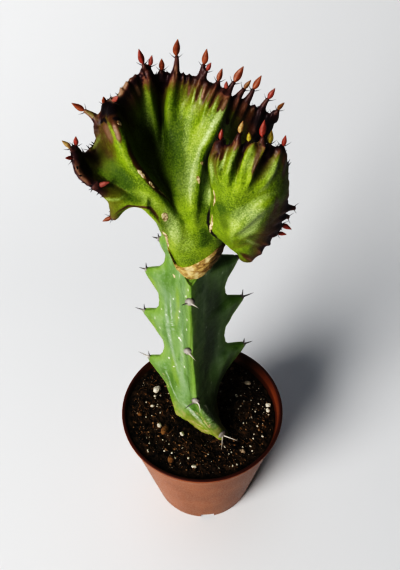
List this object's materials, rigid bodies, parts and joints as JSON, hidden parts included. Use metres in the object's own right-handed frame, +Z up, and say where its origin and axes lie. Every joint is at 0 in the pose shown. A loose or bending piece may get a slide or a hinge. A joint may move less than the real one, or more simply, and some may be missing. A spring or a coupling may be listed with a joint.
{
  "type": "potted coral cactus",
  "caption": "Crested fan-shaped succulent with a toothed margin and small leaves, grafted on a three-winged spiny stem, in a tapered plastic nursery pot.",
  "frame": {"origin": "on the ground plane under the pot's centre", "axes": "+Z up along the pot's axis, -Y towards the side of the crest that opens to the viewer, +X to the viewer's right"},
  "size_m": [0.0851, 0.085, 0.2633],
  "materials": {
    "pot_plastic": "satin moulded plastic",
    "soil": "damp dark potting mix with perlite",
    "rootstock_skin": "waxy green plant skin",
    "callus": "dry fibrous callus",
    "crest_skin": "fine-pored green plant skin with a dark margin"
  },
  "bodies": {
    "root": {"pot": "pot_plastic", "potting_soil": "soil", "rootstock": "rootstock_skin", "graft_callus": "callus", "crest": "crest_skin"}
  },
  "joints": []
}
